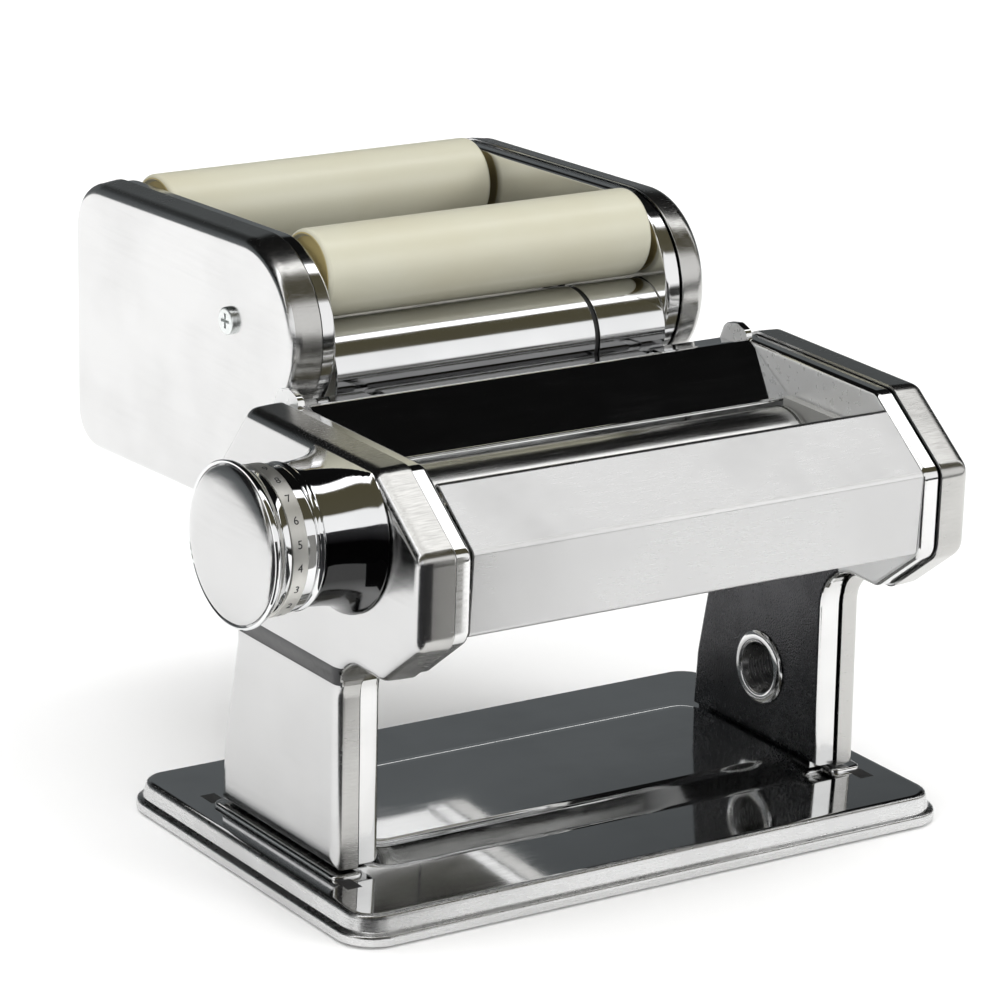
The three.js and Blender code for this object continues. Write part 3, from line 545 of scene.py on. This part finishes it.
def cover(side):
    """A deep pressed cover, made for the right side. Below the head it narrows from both faces."""
    rim, front = 86.2, 97.5
    profile = [(rim, 0), (86.8, 0.02), (90, 0.12), (93, 0.28), (93.4, 0.3)] + curl(93.4, 0.3, 4.1, 3.5)
    profile += [(front, 4.1)]
    bm = loft([(x, outline(SIDE, inset)) for x, inset in profile], caps=(False, True))
    slice_at(bm, (76, 75, LEG_TOP, 74.2, 73.6, 72.8, 71.8, 70.8, 69.8, 69, 68.4, 68, 67.6, 67.2, 65))
    for v in bm.verts:
        share = (v.co.x - rim) / (front - rim)
        rim_shift = 1.5 * unit((LEG_TOP - v.co.z) / 8)
        v.co.x -= leg_inset(v.co.z) * share - rim_shift * (1 - share)
    thicken(bm)
    bm = carve(bm, peg(6.4, *DIAL) if side < 0 else peg(7.45, *DRIVE))
    if side < 0:
        flip(bm)
    name = side_name(side)
    obj = make(f"{name}_cover_shell", bm, "frame", f"{name}_outer_cover", slot="satin_chrome",
               mats=[HEAD, EDGE, STEP_SHADOW], bevel=0.2)
    paint(obj, 1, lambda face: abs(face.normal.x) < 0.6)
    # The sloped step below the head gets a painted shadow.
    paint(obj, 2, lambda face: abs(face.normal.x) >= 0.6 and abs(face.normal.z) > 0.12
          and 67 * MM < face.center.z < 74.5 * MM)


def inner_frame(side):
    """The plate inside a cover, with the foot's strip and the ear behind the head."""
    bm = loft([(x, outline(SIDE, inset)) for x, inset in fold(80, 1, 1.6) + [(83.5, 1), (85.3, 1)]],
              caps=(True, False))
    slice_at(bm, (78, 76, 74, 72, 70, 68, 66, 64))
    for v in bm.verts:
        # The flange reaches the cover's shifted rim in the leg.
        v.co.x += 1.5 * unit((78 - v.co.z) / 10) * unit((v.co.x - 80.2) / 2.4)
    thicken(bm)
    bm = carve(bm, peg(10, *CLAMP), peg(8, *DRIVE), peg(10.4 if side > 0 else 6.6, *ADJUST),
               peg(2.35, 25, 118), peg(2.35, 25.5, 88))
    foot = outline([(-30, 9.5, 0.6), (28, 9.5, 0.6), (28, 12.4, 0.6), (-30, 12.4, 0.6)], 0, 3)
    loft([(81.2, foot), (86.4, foot)], bm=bm)
    ear = outline([(12, 133, 0.5), (13.4, 139.4, 2.8), (18, 140.9, 3), (24.5, 139.6, 3.5), (28, 131, 2),
                   (23, 124, 2)])
    loft([(80.1, [(y * 0.995, z - 0.15) for y, z in ear]), (80.5, ear), (82.3, ear)], bm=bm)
    if side < 0:
        flip(bm)
    name = side_name(side)
    wall_z = 77.5 * MM
    obj = make(f"{name}_frame_shell", bm, "frame", f"{name}_inner_frame", slot="polished_chrome",
               mats=[FRAME, HAMMERED, WALL], bevel=0.18)
    paint(obj, 1, lambda face: abs(face.normal.x) > 0.9 and face.center.z < wall_z)
    paint(obj, 2, lambda face: abs(face.normal.x) > 0.9 and face.center.z >= wall_z)


def clamp_bush(side):
    """The clamp's bush, with a raised rim and a thread of sloped grooves."""
    profile = [(79.1, 8.2), (78.75, 8.7), (78.7, 9.4), (78.8, 10.4), (79.1, 11.2), (79.65, 11.7),
               (79.65, 9.6), (91.4, 9.6), (91.4, 0)]
    inner = [(90.4, 0), (90.4, 6.9)]
    pitch = 1.1
    for i in range(9):
        x = 90 - pitch * i
        inner += [(x, 7.6), (x - pitch / 2, 6.95)]
    bm = turned(profile, *CLAMP)
    turned(inner + [(79.6, 7.7), (79.1, 8.2)], *CLAMP, bm=bm)
    if side < 0:
        flip(bm)
    name = side_name(side)
    obj = make(f"{name}_clamp_socket", bm, "frame", f"{name}_clamp_bush", slot="plain_steel",
               mats=[CHROME, BORE])
    axis = Vector(CLAMP) * MM
    paint(obj, 1, lambda face: (face.center.yz - axis).length < 8.1 * MM)


# ------------------------------------------------------------------ sheets between the frames
def across(name, corners, node, mats, slot):
    bm = prism(sheet_outline(rounded_path(corners)), -SPAN, SPAN)
    return make(name, bm, "frame", node, slot=slot, mats=mats, bevel=0.15)


def sheets():
    panel = across("front_panel_sheet", [(-55.6, 130.2, 0), (-55.9, 132.9, 0.9), (-57.4, 132.4, 0.9),
                                         (-75.9, 118.4, 1.6), (-75.1, 93.7, 1.3), (-70.5, 93.6, 0)],
                   "front_panel", [PANEL, CREASE], "satin_chrome")
    # The bend's faces are the outer ones that slope between the two flats.
    paint(panel, 1, lambda face: face.normal.y < 0 and 0.06 < face.normal.z < 0.76)
    across("hopper_sheet", [(13.6, 134, 0), (13.5, 136.9, 1.6), (10.9, 136.8, 1.2), (-10.4, 124.8, 1),
                            (-11.4, 124.6, 0)], "hopper_plate", [MIRROR], "polished_chrome")


# ------------------------------------------------------------------ rollers
def rollers():
    """The drive roller with a groove near each end, the plain adjustable roller and the crank's ring."""
    half, radius, neck = 75, 14.2, 72.1
    low = radius - 0.9

    def ends(sign):
        groove = [(neck, radius), (neck + 0.1, low), (neck + 1.0, low), (neck + 1.1, radius)]
        tip = [(half - 0.5, radius), (half - 0.15, radius - 0.15), (half, radius - 0.5), (half, 5.2)]
        return [(sign * x, r) for x, r in groove + tip]

    profile = [(-86.5, 0), (-86.5, 5), (-half, 5)] + ends(-1)[::-1] + ends(1) + [(89.8, 5), (89.8, 0)]
    make("drive_roller_turned", turned(profile, *DRIVE), "drive_roller", "drive_roller", slot="plain_steel",
         mats=[STEEL])
    bm = turned([(-half, 4.6), (-half, radius - 0.5), (0.5 - half, radius), (half - 0.5, radius),
                 (half, radius - 0.5), (half, 7.6), (90, 7.6), (90, 4.6), (-half, 4.6)], *JOURNAL)
    make("adjustable_roller_turned", bm, "adjustable_roller", "adjustable_roller", slot="plain_steel",
         mats=[STEEL])
    bm = turned([(97.85, 7.4), (97.85, 12.4), *arc(98.9, 11.8, 0.8, 60, 0, 4), (99.7, 8.4), (99.2, 7.4),
                 (97.85, 7.4)], *DRIVE)
    make("crank_ring_turned", bm, "frame", "crank_socket_ring", slot="polished_chrome", mats=[CHROME])


# ------------------------------------------------------------------ dial
def dial():
    """The flared boss on the left cover, then the knob, its number band, its cap and what is in it."""
    face = -97.85
    flare = [(face, 6.3), (face, 25), (face - 0.35, 25.1), (face - 0.9, 24.9), (face - 1.7, 24.2),
             (face - 2.8, 23.3), (face - 4.2, 22.5), (face - 6, 21.8), (face - 8.4, 21.25),
             (face - 11.5, 20.85), (face - 15, 20.6), (face - 16.8, 20.5), (-115.2, 20.3), (-115.55, 20.0),
             (-115.7, 19.6), (-115.7, 17.8), (-115.4, 17.5), (-112, 17.2), (-112, 6.3), (face, 6.3)]
    bm = turned(flare, *DIAL, sides=128)
    for v in bm.verts:
        v.co.z = min(v.co.z, HEAD_TOP - 0.85)
    make("dial_boss_turned", bm, "frame", "dial_boss", slot="polished_chrome", mats=[BOSS])
    knob = [(-116.1, 5.3), (-116.1, 20.7), (-116.35, 21.1), (-116.8, 21.25), (-117.3, 21.0), (-117.6, 20.6),
            (-118, 20.5), (-118.4, 20.75), (-118.8, 21.1), (-119.4, 21.2), (-122.0, 21.25), (-122.2, 21.0),
            (-127.3, 21.0), (-127.5, 21.3), (-129.2, 21.6), (-130.4, 22.2), (-131.4, 23.1), (-132.2, 23.7),
            (-132.9, 24.0), (-133.5, 24.0), (-133.9, 23.7), (-133.95, 23.3), (-133.7, 22.9), (-133.0, 22.7),
            (-132.9, 6.9), (-119.3, 6.9), (-119.3, 5.3), (-116.1, 5.3)]
    make("dial_knob_turned", turned(knob, *DIAL, sides=128), "dial_knob", "dial_knob",
         slot="polished_chrome", mats=[MIRROR])
    band = [(-127.2, 21.1), (-127.15, 21.55), (-127.0, 21.65), (-122.5, 21.65), (-122.35, 21.55),
            (-122.3, 21.1), (-127.2, 21.1)]
    make("dial_band", turned(band, *DIAL, sides=128), "dial_knob", "dial_number_ring", slot="satin_chrome",
         mats=[BAND])
    cap = [(-133.1, 0), (-133.1, 22.5), (-133.6, 22.6), (-134.0, 22.45), (-134.5, 21.9), (-135.0, 20.9),
           (-135.6, 19.0), (-136.2, 16.2), (-136.7, 12.6), (-137.0, 8.4), (-137.15, 4.2), (-137.2, 0)]
    make("dial_face", turned(cap, *DIAL, sides=128), "dial_knob", "dial_cap", slot="satin_chrome",
         mats=[HEAD])
    spring()
    numbers()


def spring():
    """The knob's return spring, a coil of one fixed length; the real spring shortens as the knob is pulled
    out.
    """
    bm = bmesh.new()
    x0, x1, coil, wire = -127.0, -120.1, 6.0, 0.42
    turns, steps, sides = 5, 150, 8
    rings = []
    for i in range(steps + 1):
        angle = 360 * turns * i / steps
        cy, cz = polar(*DIAL, coil, angle)
        ring = []
        for k in range(sides):
            a = rad(360 * k / sides)
            y, z = polar(cy, cz, wire * math.cos(a), angle)
            ring.append(bm.verts.new((x0 + (x1 - x0) * i / steps + wire * math.sin(a), y, z)))
        rings.append(ring)
    obj = make("dial_coil", skin(bm, rings), "dial", "dial_spring", slot="plain_steel", mats=[STEEL],
               weighted=False)
    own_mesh(obj)


def numbers():
    """Digits 0 to 9 wrapped round the number band."""
    bm = bmesh.new()
    radius, height, band_x = 21.68, 3.4, -124.75
    zero_at, apart = 257, 18
    for digit in range(10):
        curve = bpy.data.curves.new("digit", "FONT")
        curve.body = str(digit)
        curve.size = height
        curve.align_x = "CENTER"
        curve.align_y = "CENTER"
        curve.resolution_u = 3
        text = bpy.data.objects.new("digit", curve)
        bpy.context.scene.collection.objects.link(text)
        bpy.context.view_layer.update()
        mesh = text.to_mesh()
        middle = zero_at - digit * apart
        part = bmesh.new()
        part.from_mesh(mesh)
        bmesh.ops.triangulate(part, faces=part.faces)
        verts = {}
        for v in part.verts:
            turn = middle - math.degrees(v.co.y / radius)
            verts[v.index] = bm.verts.new((band_x + v.co.x, *polar(*DIAL, radius, turn)))
        for f in part.faces:
            bm.faces.new([verts[v.index] for v in f.verts])
        part.free()
        text.to_mesh_clear()
        bpy.data.objects.remove(text)
        bpy.data.curves.remove(curve)
    obj = make("dial_digits", bm, "dial_knob", slot="black_rubber", mats=[INK], weighted=False)
    m = obj.modifiers.new("depth", "SOLIDIFY")
    m.thickness = 0.06 * MM
    m.offset = 0


# ------------------------------------------------------------------ attachment
def attachment_side(side):
    """A side's cover, the plate inside it and the screw. Only the right cover opens for the crank."""
    name = side_name(side)
    profile = [(65.4, 0), (65.9, 0.02), (68, 0.25), (70.8, 0.62)] + curl(70.8, 0.6, 4.5, 3.3) + [(75.3, 4.2)]
    bm = loft([(x, attachment_outline(inset)) for x, inset in profile], caps=(False, True))
    thicken(bm)
    if side > 0:
        bm = carve(bm, peg(7.0, *FORMING_FRONT))
    else:
        flip(bm)
    obj = make(f"att_{name}_shell", bm, "attachment", f"att_{name}_cover", slot="satin_chrome",
               mats=[SATIN, EDGE], matrix=ATT, bevel=0.2)
    paint(obj, 1, lambda face: abs(face.normal.x) < 0.55)
    profile = fold(60, 0.8, 1.2) + [(63, 0.8), (64.7, 0.8)]
    bm = loft([(x, attachment_outline(inset)) for x, inset in profile], caps=(True, False))
    thicken(bm)
    bm = carve(bm, peg(3.75, *CREAM_FRONT), peg(3.75, *CREAM_REAR), peg(5.2, *FORMING_FRONT),
               peg(5.2, *FORMING_REAR))
    if side < 0:
        flip(bm)
    make(f"att_{name}_plate", bm, "attachment", f"att_{name}_frame", slot="polished_chrome", mats=[CHROME],
         matrix=ATT, bevel=0.15)
    head = [(75.25, 0), (75.25, 4.2), (76.5, 4.2), (76.8, 4.05), (76.95, 3.7), (77, 3.3), (77.02, 0)]
    y, z = SCREW
    cross = [box_mesh(76.1, 79, y - w, y + w, z - h, z + h) for w, h in ((2.3, 0.5), (0.5, 2.3))]
    bm = carve(turned(head, y, z, sides=48), *cross)
    if side < 0:
        flip(bm)
    make(f"att_{name}_screw_head", bm, "attachment", f"att_{name}_screw", slot="plain_steel", mats=[ZINC],
         matrix=ATT, smooth=40)


def guard(name, node, x0, x1, mat, inset=0.0):
    """A length of the half-round guard below the front guide roller."""
    y, z, r = GUARD
    path = [polar(y, z, r - 0.5 - inset, 62 + 4 * i) for i in range(51)]
    bm = prism(sheet_outline(path), x0, x1)
    make(name, bm, "attachment", node, slot="polished_chrome", mats=[mat], matrix=ATT, bevel=0.12)


def cream_roller(name, node, y, z):
    """A smooth guide roller with a sunk face at each end."""
    half, edge = 58.6, 1.5
    profile = [(-62.8, 0), (-62.8, 3.4), (-57.4, 3.4), (-57.4, 11.3), (-57.8, 11.7), (-58.4, 11.9),
               (-half, 12.2), *arc(-half + edge, 12.1, edge, 180, 90, 5)]
    bm = turned(profile + [(-x, r) for x, r in profile[::-1]], y, z, sides=128)
    obj = make(name, bm, node, node, slot="cream_plastic", mats=[CREAM, CREAM_END_SHADE], matrix=ATT)
    # The sunk end faces and the axle ends get the painted shade.
    paint(obj, 1, lambda face: abs(face.center.x) > 57.2 * MM and abs(face.normal.x) > 0.9)


def forming_roller(name, node, y, z):
    """A roller with three rings of pockets round it, six to a ring with a bar between them."""
    rings = (-38, 0, 38)
    profile = [(-63, 0), (-63, 4.8), (-58.6, 4.8), (-58.6, 16.4), (-58, 17)]
    for x in rings:
        profile += [(x - 16, 17), (x - 15.4, 16.6), (x - 14.6, 13.4), (x - 14, 13), (x + 14, 13),
                    (x + 14.6, 13.4), (x + 15.4, 16.6), (x + 16, 17)]
    profile += [(58, 17), (58.6, 16.4), (58.6, 4.8), (70.8, 4.8), (70.8, 0)]
    bm = turned(profile, y, z, sides=64)
    for x in rings:
        for k in range(6):
            angle = 60 * k + 10
            bar = box_mesh(x - 14.4, x + 14.4, -1.1, 1.1, -2, 2)
            bmesh.ops.rotate(bar, cent=(0, 0, 0), matrix=Matrix.Rotation(rad(angle - 90), 3, "X"),
                             verts=bar.verts)
            bmesh.ops.translate(bar, vec=(0, *polar(y, z, 15, angle)), verts=bar.verts)
            mesh = bpy.data.meshes.new("bar")
            bar.to_mesh(mesh)
            bar.free()
            bm.from_mesh(mesh)
            bpy.data.meshes.remove(mesh)
    make(name, bm, node, node, slot="white_plastic", mats=[WHITE], matrix=ATT, bevel=0.2)


def attachment_sheets():
    def run(name, corners, node):
        bm = prism(sheet_outline(rounded_path(corners)), -ATT_SPAN, ATT_SPAN)
        make(name, bm, "attachment", node, slot="polished_chrome", mats=[CHROME], matrix=ATT, bevel=0.12)

    def funnel(inset):
        """A funnel's solid, whose inset copy runs out through its top and bottom."""
        top, bottom, half = -9 + inset, -27 - inset, ATT_SPAN - 1 - inset
        wide, narrow = 20 - inset, 5.6 - inset
        return prism([(CHUTE_Y - wide, top), (CHUTE_Y + wide, top), (CHUTE_Y + narrow, bottom),
                      (CHUTE_Y - narrow, bottom)], -half, half)

    run("att_rear_sheet", [(100.4, -15.6, 0), (106.6, -17.6, 4), (106.6, -71.6, 5), (84, -71.6, 0)],
        "att_rear_panel")
    y, z, r = GUARD
    run("att_apron_sheet", [(*polar(y, z, r + 1.9, 250), 0), (-8.2, -44.6, 2), (18.6, -71.6, 3),
                            (22, -72.2, 0)], "att_front_apron")
    bm = carve(funnel(0), funnel(1.2))
    make("att_chute_sheet", bm, "attachment", "att_filling_chute", slot="polished_chrome", mats=[CHROME],
         matrix=ATT, bevel=0.2)


# ------------------------------------------------------------------ studio
def stage_plane(name, size, location, mat, facing=None, **visible):
    """A part of the studio, level unless it faces a point."""
    mesh = bpy.data.meshes.new(name)
    w, h = size[0] / 2, size[1] / 2
    mesh.from_pydata([(-w, -h, 0), (w, -h, 0), (w, h, 0), (-w, h, 0)], [], [(0, 1, 2, 3)])
    obj = bpy.data.objects.new(name, mesh)
    bpy.context.scene.collection.objects.link(obj)
    obj.location = location
    if facing is not None:
        obj.rotation_euler = (Vector(facing) - Vector(location)).to_track_quat("Z", "Y").to_euler()
    mesh.materials.append(mat)
    for key, value in visible.items():
        setattr(obj, key, value)


def plain(name, color):
    mat = bpy.data.materials.new(name)
    mat.use_nodes = True
    node = mat.node_tree.nodes["Principled BSDF"]
    node.inputs["Base Color"].default_value = (*color, 1)
    node.inputs["Roughness"].default_value = 0.8
    node.inputs["Specular IOR Level"].default_value = 0.2
    return mat


def area_light(name, location, target, size, power):
    """A soft light that polished faces don't mirror, because the surround is what they show."""
    data = bpy.data.lights.new(name, "AREA")
    data.shape = "RECTANGLE"
    data.size, data.size_y = size
    data.energy = power
    obj = bpy.data.objects.new(name, data)
    bpy.context.scene.collection.objects.link(obj)
    obj.location = location
    obj.rotation_euler = (Vector(target) - Vector(location)).to_track_quat("-Z", "Y").to_euler()
    obj.visible_glossy = False


# What polished faces see, by the bearing in degrees round the X axis: 0 is level behind, 90 straight up.
SURROUND = [(0, (0.13, 0.14, 0.145)), (25, (0.11, 0.118, 0.122)), (31, (0.006, 0.006, 0.006)),
            (87, (0.004, 0.004, 0.004)), (89.5, (2.1, 2.1, 2.1)), (100.5, (2.1, 2.1, 2.1)),
            (103, (0.08, 0.072, 0.042)), (138, (0.085, 0.077, 0.05)), (141, (1.05, 1.05, 1.05)),
            (179, (1.1, 1.1, 1.1)), (183, (0.03, 0.03, 0.028)), (199, (0.02, 0.02, 0.02)),
            (203, (0.6, 0.6, 0.6)), (330, (0.6, 0.6, 0.6)), (359, (0.14, 0.145, 0.15))]


def world():
    scene = bpy.context.scene
    scene.world = bpy.data.worlds.new("studio")
    scene.world.use_nodes = True
    tree = scene.world.node_tree
    coords = tree.nodes.new("ShaderNodeTexCoord")
    split = tree.nodes.new("ShaderNodeSeparateXYZ")
    angle = tree.nodes.new("ShaderNodeMath")
    angle.operation = "ARCTAN2"
    turns = tree.nodes.new("ShaderNodeMath")
    turns.operation = "DIVIDE"
    turns.inputs[1].default_value = 2 * math.pi
    wrap = tree.nodes.new("ShaderNodeMath")
    wrap.operation = "FRACT"
    ramp = tree.nodes.new("ShaderNodeValToRGB")
    elements = ramp.color_ramp.elements
    elements[0].position, elements[1].position = 0, SURROUND[-1][0] / 360
    elements[0].color, elements[1].color = (*SURROUND[0][1], 1), (*SURROUND[-1][1], 1)
    for bearing, color in SURROUND[1:-1]:
        elements.new(bearing / 360).color = (*color, 1)
    link = tree.links.new
    link(coords.outputs["Generated"], split.inputs[0])
    link(split.outputs["Z"], angle.inputs[0])
    link(split.outputs["Y"], angle.inputs[1])
    link(angle.outputs[0], turns.inputs[0])
    link(turns.outputs[0], wrap.inputs[0])
    link(wrap.outputs[0], ramp.inputs[0])
    link(ramp.outputs[0], tree.nodes["Background"].inputs["Color"])


def studio():
    world()
    white = plain("floor_white", (0.9, 0.9, 0.9))
    # Polished faces only see the near part of the floor, so the far parts sit beside it.
    floor_z = -0.0002
    stage_plane("floor", (2.6, 2.1), (0, 0.5, floor_z), white)
    for name, size, place in (("floor_front", (2.6, 4), (0, -2.55)), ("floor_back", (2.6, 5), (0, 4.05)),
                              ("floor_left", (5, 11.1), (-3.8, 1)), ("floor_right", (5, 11.1), (3.8, 1))):
        stage_plane(name, size, (*place, floor_z), white, visible_glossy=False)
    # Dark flags in front and to the left, seen only in the polished metal.
    black, grey = plain("flag_black", (0.02, 0.02, 0.022)), plain("flag_grey", (0.3, 0.295, 0.28))
    for name, size, place, facing, flag in (
            ("flag_edge", (0.031, 0.17), (-0.0025, -0.2151, 0.085), (-0.0025, 0.5, 0.085), grey),
            ("flag_front", (0.46, 0.17), (-0.252, -0.215, 0.085), (-0.252, 0.5, 0.085), black),
            ("flag_floor", (0.36, 0.125), (-0.29, -0.152, 0.0006), (-0.29, -0.152, 1), black),
            ("flag_left", (0.5, 0.34), (-0.42, -0.34, 0.0008), (-0.42, -0.34, 1), black)):
        stage_plane(name, size, place, flag, facing, visible_camera=False, visible_diffuse=False,
                    visible_shadow=False)
    area_light("overhead", (0.1, 0.2, 2.2), (0, 0, 0), (3.2, 3.2), 54)
    area_light("front_left", (-1.7, -1.5, 1.1), (0, 0, 0.1), (1.8, 1.4), 23)
    area_light("front_right", (1.4, -1.5, 1.3), (0, 0, 0.1), (1.2, 0.9), 17)
    area_light("behind", (-1.0, 2.0, 1.3), (0, 0, 0.1), (2.4, 1.2), 23)
    view = bpy.context.scene.view_settings
    view.view_transform = "Standard"
    view.look = "None"


def camera():
    """The photograph's view, in metres and degrees, with its small roll."""
    azimuth, elevation, roll = rad(-34.773), rad(17.807), rad(2.4405)
    aim, distance = Vector((-0.018765, 0, 0.10308)), 1.41841
    back = Vector((math.sin(azimuth) * math.cos(elevation), -math.cos(azimuth) * math.cos(elevation),
                   math.sin(elevation)))
    right = Vector((0, 0, 1)).cross(back).normalized()
    up = back.cross(right)
    tilted_right = right * math.cos(roll) + up * math.sin(roll)
    tilted_up = up * math.cos(roll) - right * math.sin(roll)
    place = aim + back * distance
    data = bpy.data.cameras.new("camera")
    data.lens = 171.857
    data.sensor_width = 36
    obj = bpy.data.objects.new("camera", data)
    bpy.context.scene.collection.objects.link(obj)
    obj.matrix_world = Matrix((
        (tilted_right.x, tilted_up.x, back.x, place.x),
        (tilted_right.y, tilted_up.y, back.y, place.y),
        (tilted_right.z, tilted_up.z, back.z, place.z),
        (0, 0, 0, 1)))
    bpy.context.scene.camera = obj


# ------------------------------------------------------------------ assembly
camera()
studio()
for node_name, obj in frame["nodes"].items():
    obj.data.materials.clear()
    obj.data.materials.append(NODE_FINISH.get(node_name, STEEL))
    for polygon in obj.data.polygons:
        polygon.use_smooth = False
base()
for side in (-1, 1):
    cover(side)
    foot_rim(side)
    inner_frame(side)
    clamp_bush(side)
    attachment_side(side)
sheets()
rollers()
dial()
guard("att_guard_long", "att_front_guard", -ATT_SPAN, 33.4, GUARD_CHROME)
guard("att_guard_short", "att_end_guard", 35.2, ATT_SPAN, GUARD_CHROME)
# The groove strip is set in and painted black: painted shade in the gap between the two guard lengths.
guard("att_guard_groove", "att_guard_ring", 33.45, 35.15, BLACK, inset=0.7)
cream_roller("front_guide_roller", "front_cream_roller", *CREAM_FRONT)
cream_roller("rear_guide_roller", "rear_cream_roller", *CREAM_REAR)
forming_roller("front_pocket_roller", "front_forming_roller", *FORMING_FRONT)
forming_roller("rear_pocket_roller", "rear_forming_roller", *FORMING_REAR)
attachment_sheets()
